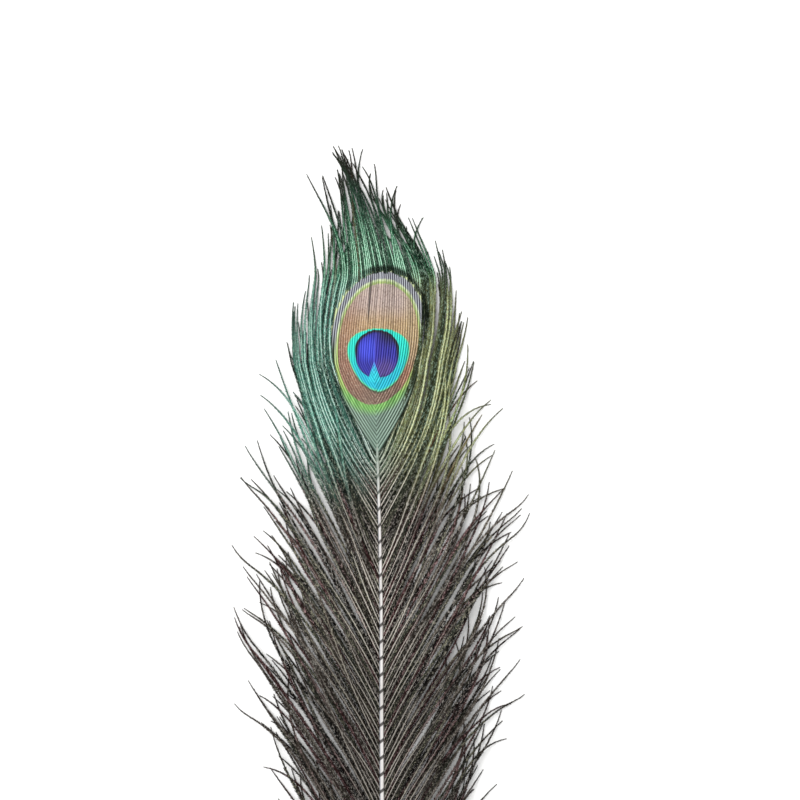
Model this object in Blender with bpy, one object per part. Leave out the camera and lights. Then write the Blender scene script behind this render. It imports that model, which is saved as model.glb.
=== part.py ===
"""Peacock train feather, lying face up on a flat surface. Metres, +Z up.

The feather grew as one piece, so it is one solid: the shaft, the closed vane
that carries the eye, and the loose barbs gathered into tapering locks.
The shaft runs along Y with the tip of the feather towards +Y. The origin is
halfway along the feather, on the flat underside of the shaft.
"""

import math

import bmesh
import bpy
from mathutils import Vector

MM = 0.001

# Lengths along the feather, measured from its middle
QUILL_END_Y = -200 * MM
SHAFT_TIP_Y = 110.6 * MM
VANE_ROOT_Y = 74 * MM
VANE_WIDEST_Y = 120 * MM
VANE_TOP_Y = 148.2 * MM
LIFT_START_Y = 30 * MM

# The shaft: a taper with a flat underside, bowed a little to each side
SHAFT_BASE_RADIUS = 1.3 * MM
SHAFT_TIP_RADIUS = 0.35 * MM
SHAFT_TAPER_POWER = 0.62
SHAFT_TIP_BOW = 3.0 * MM
SHAFT_TIP_BOW_POWER = 1.6
SHAFT_QUILL_BOW = 2.5 * MM
SHAFT_STEPS = 34
SHAFT_SECTION = [
    (-0.60, -1.00),
    (0.60, -1.00),
    (1.00, -0.40),
    (1.00, 0.35),
    (0.55, 0.95),
    (-0.55, 0.95),
    (-1.00, 0.35),
    (-1.00, -0.40),
]

# The closed vane: an egg outline, thin and slightly crowned, wider to the right of the shaft
VANE_HALF_WIDTH = 18 * MM
VANE_SKEW = 0.11
VANE_HALF_THICKNESS = 0.7 * MM
VANE_END_THINNESS = 0.35
VANE_LIFT = 5.0 * MM
VANE_EDGE_DROOP = 1.6 * MM
VANE_LEAN = 0.08
VANE_SECTORS = 20
VANE_RINGS = 18

# A lock: a flat diamond section along a curved path, thickest a third of the way
LOCK_SECTION_HEIGHT = 0.30
LOCK_SECTION = [(-1.0, 0.0), (0.0, -LOCK_SECTION_HEIGHT), (1.0, 0.0), (0.0, LOCK_SECTION_HEIGHT)]
LOCK_STEPS = 8
LOCK_ROOT_WIDTH = 0.45
LOCK_TIP_WIDTH = 0.24
LOCK_FULL_AT = 0.35
LOCK_TAPER_POWER = 1.6

# Fringe locks, over the top of the vane
FRINGE_PLACES = (-0.93, -0.66, -0.36, -0.04, 0.30, 0.62, 0.92)
FRINGE_TIPS_Y = [y * MM for y in (181, 192, 199.6, 200, 191, 184, 176)]
FRINGE_HALF_WIDTH = 1.5 * MM
FRINGE_ROOT_SPREAD = 0.86
FRINGE_OVERLAP = 5.0 * MM
FRINGE_ARCH = 1.6 * MM
FRINGE_NARROWS_TO = 11.0 * MM
FRINGE_NARROWS_OVER = 32 * MM
FRINGE_LEAN_Y = 150 * MM
FRINGE_LEAN = 1.42

# Side locks, which hug the vane
SIDE_ROOTS_Y = [y * MM for y in (70.5, 64.5, 58.5, 52.5, 46.5, 40.5, 34.5)]
SIDE_HALF_WIDTH = 1.15 * MM
SIDE_LEAVING_SLOPE = 0.70
SIDE_GAP = 2.2 * MM
SIDE_SPREAD = 2.9 * MM
SIDE_TURN_SOFTNESS = 6 * MM
SIDE_REACH = 104.5 * MM
SIDE_REACH_SHORTENS = 1.9 * MM
SIDE_ARCH_SHARE = 0.6

# Herl locks, down the rest of the shaft
HERL_FIRST_Y = 26 * MM
HERL_LAST_Y = -166 * MM
HERL_COUNT = 22
HERL_HALF_WIDTH = 1.75 * MM
HERL_LEAVING_DEG = 24
HERL_UPPER_TIP_DEG = 20
HERL_LOWER_TIP_DEG = 33
HERL_TURNS_OVER = 56 * MM
HERL_TURN_POWER = 2.2
HERL_LENGTH = 100 * MM
HERL_LOWEST_LENGTH = 68 * MM
HERL_SHORTENS_BELOW = -90 * MM
HERL_LENGTH_VARIES = 0.06
HERL_TIP_VARIES_DEG = 1.6

# How high the locks arch between root and tip, taken in turn, and how peaked the arch is
LOCK_ARCHES = [z * MM for z in (4.5, 7.0, 3.5, 8.0, 5.5)]
LOCK_ARCH_POWER = 1.3

# Radians that the unevenness turns through from one lock to the next
UNEVEN_TURN = 2.4

KERATIN_COLOUR = (0.045, 0.036, 0.030, 1.0)
KERATIN_ROUGHNESS = 0.55

WELD_DISTANCE = 0.001 * MM
SHARP_EDGE_DEG = 35


def smooth_step(value, low, high):
    """0 below low, 1 above high, and a smooth rise between."""
    t = min(1.0, max(0.0, (value - low) / (high - low)))
    return t * t * (3 - 2 * t)


def shaft_x(y):
    """Sideways place of the shaft's middle line."""
    toward_tip = max(y, 0.0) / SHAFT_TIP_Y
    toward_quill = min(y, 0.0) / QUILL_END_Y
    return SHAFT_QUILL_BOW * toward_quill**2 - SHAFT_TIP_BOW * toward_tip**SHAFT_TIP_BOW_POWER


def feather_x(y):
    """The middle line of the whole feather: the shaft, then the vane and the fringe, which leans over."""
    if y <= SHAFT_TIP_Y:
        return shaft_x(y)
    lean = VANE_LEAN * (y - SHAFT_TIP_Y)
    past = max(y - FRINGE_LEAN_Y, 0.0)
    return shaft_x(SHAFT_TIP_Y) + lean - FRINGE_LEAN * past * math.sqrt(past)


def shaft_lift(y):
    """Height of the shaft's underside, which rests on the surface and rises to the vane."""
    return VANE_LIFT * smooth_step(y, LIFT_START_Y, VANE_WIDEST_Y)


def shaft_radius(y):
    left = max(SHAFT_TIP_Y - y, 0.0) / (SHAFT_TIP_Y - QUILL_END_Y)
    return SHAFT_TIP_RADIUS + (SHAFT_BASE_RADIUS - SHAFT_TIP_RADIUS) * left**SHAFT_TAPER_POWER


def widest(side):
    """Widest the vane is on one side of the shaft: -1 is the left and 1 the right."""
    return VANE_HALF_WIDTH * (1 + VANE_SKEW * side)


def bouquet_half_width(y, side):
    """Half-width of the barbs that make the vane, which run on above it as the fringe."""
    if y <= VANE_ROOT_Y:
        return 0.0
    if y <= VANE_WIDEST_Y:
        share = (y - VANE_ROOT_Y) / (VANE_WIDEST_Y - VANE_ROOT_Y)
        return widest(side) * math.sin(math.pi / 2 * share)
    above = (y - VANE_WIDEST_Y) / FRINGE_NARROWS_OVER
    return FRINGE_NARROWS_TO + (widest(side) - FRINGE_NARROWS_TO) * math.exp(-(above**2))


def vane_half_width(y, side):
    """Outline of the closed vane: the barbs' spread below, and an ellipse above its widest place."""
    if y <= VANE_WIDEST_Y:
        return bouquet_half_width(y, side)
    share = min(1.0, (y - VANE_WIDEST_Y) / (VANE_TOP_Y - VANE_WIDEST_Y))
    return widest(side) * math.sqrt(1 - share**2)


def vane_top_at(place):
    """How far up the vane's rim is for a barb at that share of the half-width."""
    return VANE_WIDEST_Y + (VANE_TOP_Y - VANE_WIDEST_Y) * math.sqrt(1 - (FRINGE_ROOT_SPREAD * place) ** 2)


def vane_height(x, y):
    """Height of the vane's middle surface, crowned across its width."""
    across = (x - feather_x(y)) / VANE_HALF_WIDTH
    return shaft_lift(y) + shaft_radius(y) - VANE_EDGE_DROOP * min(1.0, across**2)


def uneven(side, number):
    """A value from -1 to 1 that differs from one lock to the next, as on a real feather."""
    return math.sin(UNEVEN_TURN * number + side)


def droop(points, root_z, arch):
    """Gives flat points a height: up from the root over an arch, then down to the surface."""
    raised = []
    last = len(points) - 1
    for number, (x, y) in enumerate(points):
        t = number / last
        z = root_z * (1 - t) ** 2 + arch * math.sin(math.pi * t) ** LOCK_ARCH_POWER
        raised.append(Vector((x, y, z)))
    return raised


def fringe_path(place, tip_y):
    """A lock over the top of the vane, at a share of the half-width from -1 to 1."""
    start_y = vane_top_at(place) - FRINGE_OVERLAP
    ys = [start_y + (tip_y - start_y) * n / (LOCK_STEPS - 1) for n in range(LOCK_STEPS)]
    side = math.copysign(1, place)
    flat = [(feather_x(y) + place * bouquet_half_width(y, side), y) for y in ys]
    root_z = vane_height(*flat[0])
    return droop(flat, root_z, FRINGE_ARCH)


def soft_lesser(a, b, softness):
    """The lesser of two lengths, rounded off where one takes over from the other."""
    return -softness * math.log(math.exp(-a / softness) + math.exp(-b / softness))


def side_path(side, number, root_y):
    """A lock that leaves the shaft below the vane and follows the vane's edge."""
    reach = SIDE_REACH - SIDE_REACH_SHORTENS * number
    flat = [(feather_x(root_y), root_y)]
    for step in range(1, LOCK_STEPS):
        y = root_y + reach * step / (LOCK_STEPS - 1)
        leaving = SIDE_LEAVING_SLOPE * (y - root_y)
        hugging = bouquet_half_width(y, side) + SIDE_GAP + SIDE_SPREAD * number
        offset = soft_lesser(leaving, hugging, SIDE_TURN_SOFTNESS)
        flat.append((feather_x(min(y, VANE_TOP_Y)) + side * max(offset, 0.0), y))
    return flat


def herl_path(side, number, root_y):
    """A lock lower down: its heading turns slowly outwards from the shaft to the tip."""
    upper = smooth_step(root_y, HERL_FIRST_Y - HERL_TURNS_OVER, HERL_FIRST_Y)
    tip_deg = HERL_LOWER_TIP_DEG + (HERL_UPPER_TIP_DEG - HERL_LOWER_TIP_DEG) * upper
    tip_deg += HERL_TIP_VARIES_DEG * uneven(side, number)
    shorter = smooth_step(-root_y, -HERL_SHORTENS_BELOW, -HERL_LAST_Y)
    length = HERL_LENGTH + (HERL_LOWEST_LENGTH - HERL_LENGTH) * shorter
    length *= 1 - HERL_LENGTH_VARIES * uneven(side, number + 1)
    x, y = shaft_x(root_y), root_y
    flat = [(x, y)]
    for step in range(1, LOCK_STEPS):
        t = (step - 0.5) / (LOCK_STEPS - 1)
        turned = 1 - (1 - t) ** HERL_TURN_POWER
        heading = math.radians(HERL_LEAVING_DEG + (tip_deg - HERL_LEAVING_DEG) * turned)
        stride = length / (LOCK_STEPS - 1)
        x += side * stride * math.sin(heading)
        y += stride * math.cos(heading)
        flat.append((x, y))
    return flat


def lock_width(t):
    """A lock's width as a share of its fullest, from root to tip."""
    if t < LOCK_FULL_AT:
        return LOCK_ROOT_WIDTH + (1 - LOCK_ROOT_WIDTH) * smooth_step(t, 0, LOCK_FULL_AT)
    fall = (t - LOCK_FULL_AT) / (1 - LOCK_FULL_AT)
    return 1 - (1 - LOCK_TIP_WIDTH) * fall**LOCK_TAPER_POWER


def section_curve(name, points, helpers):
    """A closed flat outline that other curves carry along their length."""
    data = bpy.data.curves.new(name, "CURVE")
    data.dimensions = "2D"
    spline = data.splines.new("POLY")
    spline.points.add(len(points) - 1)
    for point, (x, y) in zip(spline.points, points):
        point.co = (x * MM, y * MM, 0, 1)
    spline.use_cyclic_u = True
    obj = bpy.data.objects.new(name, data)
    obj.hide_render = True
    helpers.objects.link(obj)
    return obj


def swept(name, path, radii, section, helpers):
    """A closed mesh made by carrying a section along a path, wider or narrower by radii in metres."""
    data = bpy.data.curves.new(name + "_path", "CURVE")
    data.dimensions = "3D"
    data.twist_mode = "Z_UP"
    data.bevel_mode = "OBJECT"
    data.bevel_object = section
    data.use_fill_caps = True
    spline = data.splines.new("POLY")
    spline.points.add(len(path) - 1)
    for point, place, radius in zip(spline.points, path, radii):
        point.co = (*place, 1)
        point.radius = radius / MM
    guide = bpy.data.objects.new(name + "_path", data)
    helpers.objects.link(guide)
    bpy.context.view_layer.update()
    graph = bpy.context.evaluated_depsgraph_get()
    mesh = bpy.data.meshes.new_from_object(guide.evaluated_get(graph))
    mesh.name = name
    bpy.data.objects.remove(guide)
    shape = bmesh.new()
    shape.from_mesh(mesh)
    bmesh.ops.remove_doubles(shape, verts=shape.verts, dist=WELD_DISTANCE)
    bmesh.ops.recalc_face_normals(shape, faces=shape.faces)
    shape.to_mesh(mesh)
    shape.free()
    return bpy.data.objects.new(name, mesh)


def make_shaft(helpers):
    section = section_curve("shaft_section", SHAFT_SECTION, helpers)
    ys = [QUILL_END_Y + (SHAFT_TIP_Y - QUILL_END_Y) * n / (SHAFT_STEPS - 1) for n in range(SHAFT_STEPS)]
    radii = [shaft_radius(y) for y in ys]
    path = [Vector((shaft_x(y), y, shaft_lift(y) + r)) for y, r in zip(ys, radii)]
    return swept("feather", path, radii, section, helpers)


def make_vane():
    """A ball drawn out into the egg outline, flattened, and laid over the crown."""
    shape = bmesh.new()
    bmesh.ops.create_uvsphere(shape, u_segments=VANE_SECTORS, v_segments=VANE_RINGS, radius=1)
    for vertex in shape.verts:
        across, through, along = vertex.co
        y = VANE_ROOT_Y + (VANE_TOP_Y - VANE_ROOT_Y) * (along + 1) / 2
        ring = math.hypot(across, through)
        turn = Vector((across, through)).normalized()
        x = feather_x(y) + turn.x * vane_half_width(y, math.copysign(1, turn.x))
        thickness = VANE_HALF_THICKNESS * (VANE_END_THINNESS + (1 - VANE_END_THINNESS) * ring)
        vertex.co = (x, y, vane_height(x, y) + turn.y * thickness)
    bmesh.ops.recalc_face_normals(shape, faces=shape.faces)
    mesh = bpy.data.meshes.new("vane")
    shape.to_mesh(mesh)
    shape.free()
    return bpy.data.objects.new("vane", mesh)


def make_locks(helpers):
    section = section_curve("lock_section", LOCK_SECTION, helpers)
    widths = [lock_width(n / (LOCK_STEPS - 1)) for n in range(LOCK_STEPS)]
    locks = []

    def add(name, path, half_width):
        radii = [half_width * share for share in widths]
        tip_half_thickness = LOCK_SECTION_HEIGHT * radii[-1]
        path[-1].z = max(path[-1].z, tip_half_thickness)
        locks.append(swept(name, path, radii, section, helpers))

    for number, (place, tip_y) in enumerate(zip(FRINGE_PLACES, FRINGE_TIPS_Y)):
        add(f"fringe_{number}", fringe_path(place, tip_y), FRINGE_HALF_WIDTH)
    for side in (-1, 1):
        for number, root_y in enumerate(SIDE_ROOTS_Y):
            flat = side_path(side, number, root_y)
            root_z = shaft_lift(root_y) + shaft_radius(root_y)
            arch = SIDE_ARCH_SHARE * LOCK_ARCHES[(2 * number + side) % len(LOCK_ARCHES)]
            add(f"side_{side}_{number}", droop(flat, root_z, arch), SIDE_HALF_WIDTH)
        for number in range(HERL_COUNT):
            step = (HERL_FIRST_Y - HERL_LAST_Y) / (HERL_COUNT - 1)
            root_y = HERL_FIRST_Y - step * number
            flat = herl_path(side, number, root_y)
            root_z = shaft_lift(root_y) + shaft_radius(root_y)
            arch = LOCK_ARCHES[(2 * number + side) % len(LOCK_ARCHES)]
            add(f"herl_{side}_{number}", droop(flat, root_z, arch), HERL_HALF_WIDTH)
    return locks


def keratin():
    material = bpy.data.materials.new("keratin")
    material.use_nodes = True
    shader = material.node_tree.nodes["Principled BSDF"]
    shader.inputs["Base Color"].default_value = KERATIN_COLOUR
    shader.inputs["Roughness"].default_value = KERATIN_ROUGHNESS
    shader.inputs["Metallic"].default_value = 0.0
    return material


def main():
    for obj in list(bpy.data.objects):
        bpy.data.objects.remove(obj)
    feather_parts = bpy.data.collections.new("feather")
    helpers = bpy.data.collections.new("helpers")
    joined = bpy.data.collections.new("grown_on_shaft")
    for collection in (feather_parts, helpers, joined):
        bpy.context.scene.collection.children.link(collection)

    feather = make_shaft(helpers)
    feather_parts.objects.link(feather)
    for piece in [make_vane(), *make_locks(helpers)]:
        piece.hide_render = True
        piece.display_type = "WIRE"
        joined.objects.link(piece)

    union = feather.modifiers.new("grown together", "BOOLEAN")
    union.operation = "UNION"
    union.operand_type = "COLLECTION"
    union.collection = joined
    union.solver = "EXACT"
    union.use_self = True

    feather.data.materials.append(keratin())
    feather.data.shade_smooth()
    feather.data.set_sharp_from_angle(angle=math.radians(SHARP_EDGE_DEG))


main()
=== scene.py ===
"""Peacock train feather, lying face up on a pale floor and seen from straight above."""

import math
import random

import bpy
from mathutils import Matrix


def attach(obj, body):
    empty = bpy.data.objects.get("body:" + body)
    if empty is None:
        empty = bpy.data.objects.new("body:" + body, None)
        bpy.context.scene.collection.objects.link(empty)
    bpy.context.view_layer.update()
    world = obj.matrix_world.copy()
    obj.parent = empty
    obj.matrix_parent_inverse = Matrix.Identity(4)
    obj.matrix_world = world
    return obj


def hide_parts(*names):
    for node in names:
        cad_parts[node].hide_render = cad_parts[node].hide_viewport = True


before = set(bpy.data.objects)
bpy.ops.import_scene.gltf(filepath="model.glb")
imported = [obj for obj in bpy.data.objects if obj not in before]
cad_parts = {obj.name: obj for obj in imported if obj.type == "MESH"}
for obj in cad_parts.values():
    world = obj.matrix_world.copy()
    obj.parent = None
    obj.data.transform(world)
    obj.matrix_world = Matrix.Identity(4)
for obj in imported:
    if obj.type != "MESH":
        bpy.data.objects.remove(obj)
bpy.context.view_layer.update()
MM = 0.001

# Camera: straight above the eye. It takes in 320 mm each way at the height of the floor, so a
# pixel is 0.4 mm, and the lower end of the quill runs out of the bottom of the picture.
PICTURE_SIDE = 320 * MM
PICTURE_CENTRE_X = 7.4 * MM
PICTURE_CENTRE_Y = 95.8 * MM
LENS_MM = 85
SENSOR_MM = 36

lens = bpy.data.cameras.new("camera")
lens.lens = LENS_MM
lens.sensor_width = SENSOR_MM
camera = bpy.data.objects.new("camera", lens)
camera.location = (PICTURE_CENTRE_X, PICTURE_CENTRE_Y, PICTURE_SIDE * LENS_MM / SENSOR_MM)
bpy.context.scene.collection.objects.link(camera)
bpy.context.scene.camera = camera


# Shaft: the rachis, a solid ivory rod of keratin that tapers from the quill to the middle of the
# eye. It is squarish in section, and bows a little to each side. Every barb grows out of its flank.
QUILL_END_Y = -200 * MM
SHAFT_TIP_Y = 110.6 * MM
SHAFT_BASE_RADIUS = 1.3 * MM
SHAFT_TIP_RADIUS = 0.35 * MM
SHAFT_TAPER_POWER = 0.62
SHAFT_TIP_BOW = 3.0 * MM
SHAFT_TIP_BOW_POWER = 1.6
SHAFT_QUILL_BOW = 2.5 * MM
SHAFT_SINKS_FROM_Y = 72 * MM
SHAFT_SUNK_Y = 94 * MM
SHAFT_SINKS_BY = 0.8
SHAFT_STEPS = 220
SHAFT_BLUNT_STEPS = 5
SHAFT_CORNER = 0.75
STREAKS_ACROSS_SHAFT, STREAKS_ALONG_SHAFT = 5.2 / MM, 0.06 / MM
VANE_LIFT = 5.0 * MM
LIFT_START_Y = 30 * MM
VANE_WIDEST_Y = 120 * MM
FIRST_ROOT_Y = 26 * MM
ROOT_PITCH = 6.62 * MM
ROOT_SLANT = 0.71


def smooth_step(value, low, high):
    """0 below low, 1 above high, and a smooth rise between."""
    t = min(1.0, max(0.0, (value - low) / (high - low)))
    return t * t * (3 - 2 * t)


def shaft_x(y):
    """Sideways place of the shaft's middle line."""
    toward_tip = max(y, 0.0) / SHAFT_TIP_Y
    toward_quill = min(y, 0.0) / QUILL_END_Y
    return SHAFT_QUILL_BOW * toward_quill**2 - SHAFT_TIP_BOW * toward_tip**SHAFT_TIP_BOW_POWER


def shaft_lift(y):
    """Height of the shaft's underside, which rests on the floor and rises to the eye."""
    return VANE_LIFT * smooth_step(y, LIFT_START_Y, VANE_WIDEST_Y)


def shaft_radius(y):
    """Half the shaft's thickness, which tapers from the quill to its tip."""
    left = max(SHAFT_TIP_Y - y, 0.0) / (SHAFT_TIP_Y - QUILL_END_Y)
    return SHAFT_TIP_RADIUS + (SHAFT_BASE_RADIUS - SHAFT_TIP_RADIUS) * left**SHAFT_TAPER_POWER


def linear(hex_colour):
    """An sRGB hex colour as the linear numbers that a shader takes."""
    shares = [int(hex_colour[n : n + 2], 16) / 255 for n in (1, 3, 5)]
    return (*(s / 12.92 if s <= 0.04045 else ((s + 0.055) / 1.055) ** 2.4 for s in shares), 1.0)


def add(tree, kind, inputs=(), out=0, **settings):
    """Adds a node with its settings and returns one of its outputs, or all of them for out=None.

    The inputs come in order or by name. Each is a number, a hex colour, a socket, a list of sockets
    for a socket that takes several, or None for the node's own value.
    """
    made = tree.nodes.new(kind)
    for name, value in settings.items():
        setattr(made, name, value)
    for key, value in inputs.items() if isinstance(inputs, dict) else enumerate(inputs):
        if isinstance(value, (bpy.types.NodeSocket, list)):
            for source in value if isinstance(value, list) else [value]:
                tree.links.new(source, made.inputs[key])
        elif value is not None:
            is_colour = isinstance(value, str) and value.startswith("#")
            made.inputs[key].default_value = linear(value) if is_colour else value
    return made.outputs if out is None else made.outputs[out] if made.outputs else made


def new_tree(name, sizes):
    """A Geometry Nodes tree that takes a mesh and these named sizes, and the sockets that bring them."""
    tree = bpy.data.node_groups.new(name, "GeometryNodeTree")
    tree.interface.new_socket("Geometry", in_out="INPUT", socket_type="NodeSocketGeometry")
    tree.interface.new_socket("Geometry", in_out="OUTPUT", socket_type="NodeSocketGeometry")
    for title, kind in sizes.items():
        tree.interface.new_socket(title, in_out="INPUT", socket_type="NodeSocket" + kind)
    return tree, add(tree, "NodeGroupInput", out=None)


def lines(name, paths, **numbers):
    """A mesh of open lines, one for each path. A number goes to every point of every path."""
    mesh = bpy.data.meshes.new(name)
    edges = []
    for path in paths:
        start = edges[-1][1] + 1 if edges else 0
        edges += [(start + n, start + n + 1) for n in range(len(path) - 1)]
    mesh.from_pydata([point for path in paths for point in path], edges, [])
    for title, values in numbers.items():
        flat = [value for row in values for value in row]
        mesh.attributes.new(title, "FLOAT", "POINT").data.foreach_set("value", flat)
    return mesh


def grow(name, mesh, tree, **sizes):
    """Runs a tree on a mesh, and returns an object that holds the result as a plain mesh."""
    guide = bpy.data.objects.new(name + "_guide", mesh)
    bpy.context.scene.collection.objects.link(guide)
    modifier = guide.modifiers.new("grow", "NODES")
    modifier.node_group = tree
    for item in tree.interface.items_tree:
        key = item.name.lower().replace(" ", "_")
        if key in sizes:
            modifier[item.identifier] = sizes[key]
    graph = bpy.context.evaluated_depsgraph_get()
    grown = guide.evaluated_get(graph)
    plain = bpy.data.meshes.new_from_object(grown, preserve_all_data_layers=True, depsgraph=graph)
    plain.name = name
    while plain.materials and plain.materials[-1] is None:
        plain.materials.pop()
    bpy.data.objects.remove(guide)
    piece = bpy.data.objects.new(name, plain)
    bpy.context.scene.collection.objects.link(piece)
    return piece


def new_material(name):
    """A material with an empty tree."""
    material = bpy.data.materials.new(name)
    material.use_nodes = True
    material.node_tree.nodes.clear()
    return material, material.node_tree


def lay(tree, ground, colour, value, low, high, share=1.0):
    """Lays a colour over the ground where a value rises from low to high, or falls if low is above high."""
    edge = (value, low, high, 0.0, share)
    where = add(tree, "ShaderNodeMapRange", edge, interpolation_type="SMOOTHSTEP")
    return add(tree, "ShaderNodeMix", {0: where, 6: ground, 7: colour}, out=2, data_type="RGBA")


# Ivory keratin: dense and worn smooth, with a satin gloss. It is streaked along its length, some
# five streaks to the millimetre, and marked dark where each lock of barbs is rooted.
ivory, nodes = new_material("ivory keratin")
place = add(nodes, "ShaderNodeTexCoord", out=None)["Object"]
north = add(nodes, "ShaderNodeSeparateXYZ", (place,), out=1)
drawn_out = (STREAKS_ACROSS_SHAFT, STREAKS_ALONG_SHAFT, STREAKS_ACROSS_SHAFT)
drawn_out = add(nodes, "ShaderNodeMapping", {"Vector": place, "Scale": drawn_out})
streaks = add(nodes, "ShaderNodeTexNoise", {"Vector": drawn_out, "Scale": 1.0, "Detail": 3.0})
across = add(nodes, "ShaderNodeAttribute", out=2, attribute_name="across")
flank = add(nodes, "ShaderNodeMath", (across,), operation="ABSOLUTE")
per_root = 2 * math.pi / ROOT_PITCH
from_root = add(nodes, "ShaderNodeMath", (north, -FIRST_ROOT_Y), operation="ADD")
slanted = add(nodes, "ShaderNodeMath", (across, -ROOT_SLANT), operation="MULTIPLY")
root_mark = add(nodes, "ShaderNodeMath", (from_root, per_root, slanted), operation="MULTIPLY_ADD")
root_mark = add(nodes, "ShaderNodeMath", (root_mark,), operation="COSINE")
horn = lay(nodes, "#e0dddb", "#a8a29b", streaks, 0.42, 0.75)
# Painted shade: darker down both flanks of the rod, and bluish grey down one of them.
horn = lay(nodes, horn, "#6a6057", flank, 0.3, 0.9, share=0.8)
horn = lay(nodes, horn, "#9aa1ae", across, -0.2, -0.9, share=0.6)
root_marked = lay(nodes, horn, "#231e1a", root_mark, 0.66, 0.9, share=0.92)
horn = lay(nodes, horn, root_marked, north, -168 * MM, -160 * MM)
horn = lay(nodes, horn, "#7f8f80", north, 48 * MM, 80 * MM, share=0.9)
grooves = add(nodes, "ShaderNodeBump", {"Height": streaks, "Strength": 0.25, "Distance": 0.05 * MM})
surface = {"Base Color": horn, "Roughness": 0.34, "IOR": 1.54, "Normal": grooves}
add(nodes, "ShaderNodeOutputMaterial", (add(nodes, "ShaderNodeBsdfPrincipled", surface),))

STORE = "GeometryNodeStoreNamedAttribute"
NAMED = "GeometryNodeInputNamedAttribute"
rod_tree, given = new_tree("rod", {"Corner": "Float", "Material": "Material"})
rod = add(rod_tree, "GeometryNodeMeshToCurve", (given["Geometry"],))
rod = add(rod_tree, "GeometryNodeSetCurveNormal", (rod,), mode="Z_UP")
square = add(rod_tree, "GeometryNodeCurvePrimitiveQuadrilateral", (2.0, 2.0))
rounding = {"Curve": square, "Count": 4, "Radius": given["Corner"]}
square = add(rod_tree, "GeometryNodeFilletCurve", rounding, mode="POLY")
sideways = add(rod_tree, "ShaderNodeSeparateXYZ", (add(rod_tree, "GeometryNodeInputPosition"),))
square = add(rod_tree, STORE, (square, True, "across", sideways), data_type="FLOAT", domain="POINT")
thick = add(rod_tree, NAMED, ("thick",), data_type="FLOAT")
rod = add(rod_tree, "GeometryNodeCurveToMesh", (rod, square, thick, True))
rod = add(rod_tree, "GeometryNodeSetShadeSmooth", (rod,))
rod = add(rod_tree, "GeometryNodeRealizeInstances", (rod,))
rod = add(rod_tree, "GeometryNodeSetMaterial", {"Geometry": rod, "Material": given["Material"]})
add(rod_tree, "NodeGroupOutput", (rod,))

shaft_path, shaft_radii = [], []
for step in range(SHAFT_STEPS):
    y = QUILL_END_Y + (SHAFT_TIP_Y - QUILL_END_Y) * step / (SHAFT_STEPS - 1)
    left_over = 1 - SHAFT_SINKS_BY * smooth_step(y, SHAFT_SINKS_FROM_Y, SHAFT_SUNK_Y)
    blunt = math.sqrt(min(1.0, (step + 0.5) / SHAFT_BLUNT_STEPS))
    shaft_path.append((shaft_x(y), y, shaft_lift(y) + shaft_radius(y) * left_over))
    shaft_radii.append(shaft_radius(y) * left_over * blunt)
guide = lines("shaft", [shaft_path], thick=[shaft_radii])
shaft = grow("shaft", guide, rod_tree, corner=SHAFT_CORNER, material=ivory)
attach(shaft, "root")
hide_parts("feather")


# Eye barbs: the barbs whose barbules hook together into the closed web that carries the eye. They
# leave the last part of the shaft in a V, curve up past the eye, and let go of each other at its
# rim, where each runs on alone as the fringe.
VANE_ROOT_Y = 74 * MM
VANE_HALF_WIDTH = 19 * MM
VANE_SKEW = 0.02
VANE_EDGE_DROOP = 1.6 * MM
VANE_LEAN = 0.08
FRINGE_NARROWS_TO = 13.5 * MM
FRINGE_NARROWS_OVER = 32 * MM
FRINGE_LEAN_Y = 143 * MM
FRINGE_LEAN = 0.37
FRINGE_LEAN_STARTS_OVER = 10 * MM
FRINGE_TIPS = [y * MM for y in (184, 192, 198, 200, 196, 188, 181, 174)]
FRINGE_TIP_VARIES = 13 * MM
FRINGE_TIP_POWER = 1.5
FRINGE_STRAYS = 4.2 * MM
FRINGE_CURLS = 1.8 * MM
CURL_POWER = 6
FRINGE_WAVE_MM = (0.3, 1.2)
WAVE_TURN = 6
FRINGE_ARCH = 1.6 * MM
ARCH_POWER = 1.3
TIP_HEIGHT = 0.35 * MM
WEB_EDGE_OVERLAP = 2.0 * MM
EYE_BARBS = 20
ROOTS_CROSS_BY = 0.2 * MM
EYE_STEP = 0.8 * MM
WEB_OVERLAP = 1.3
WEB_RISES = 0.35 * MM
RIBBON_ROOT_WIDTH, RIBBON_WIDENS_IN = 0.8, 4
RIBBON_END_WIDTH, RIBBON_NARROWS_IN = 0.35, 3
RIDGE_SHARE, KEEL_SHARE = 0.18, 0.1
RIM_ABOVE, RIM_BELOW = 1.24, 1.12
RIM_UNEVEN = 0.02
RIM_CHANGES_Y = (98 * MM, 124 * MM)
LOOSE_FROM_Y = 97 * MM
EYE_X, EYE_Y = -1.24, 117.8
EYE_HALF_WIDTH = 15.9
EYE_ABOVE, EYE_ABOVE_POWER = 24.2, 2.1
EYE_BELOW, EYE_BELOW_POWER = 23.8, 2.0
EYE_LEANS_BELOW = 0.1
EYE_LEANS_ABOVE = 0.08
RAMUS_RADIUS = 0.14 * MM
RAMUS_REACH = 0.12
STOUT_RAMUS = 1.8
FRINGE_RAMUS_TAPERS = 1.4
FRINGE_FLUFF_SHRINKS = 0.8
FRINGE_CREST = 0.3
BARBULE_WIDTH = 0.36 * MM
BARBULE_PITCH = 0.22 * MM
FRINGE_BARBULE = 1.3 * MM
BARBULE_ANGLE = 0.62
BARBULE_RISE = 0.35
BARBULE_ANGLE_VARIES = 0.2
BARBULE_RISES = (-0.7, 1.0)
CREST_RISES = 1.6
BARBULE_LENGTHS = (0.7, 1.12)
BARBULE_ROOT_REACH, CREST_REACH = 0.15, 0.2
BARB_FILLS_ROW = 0.4


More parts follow.
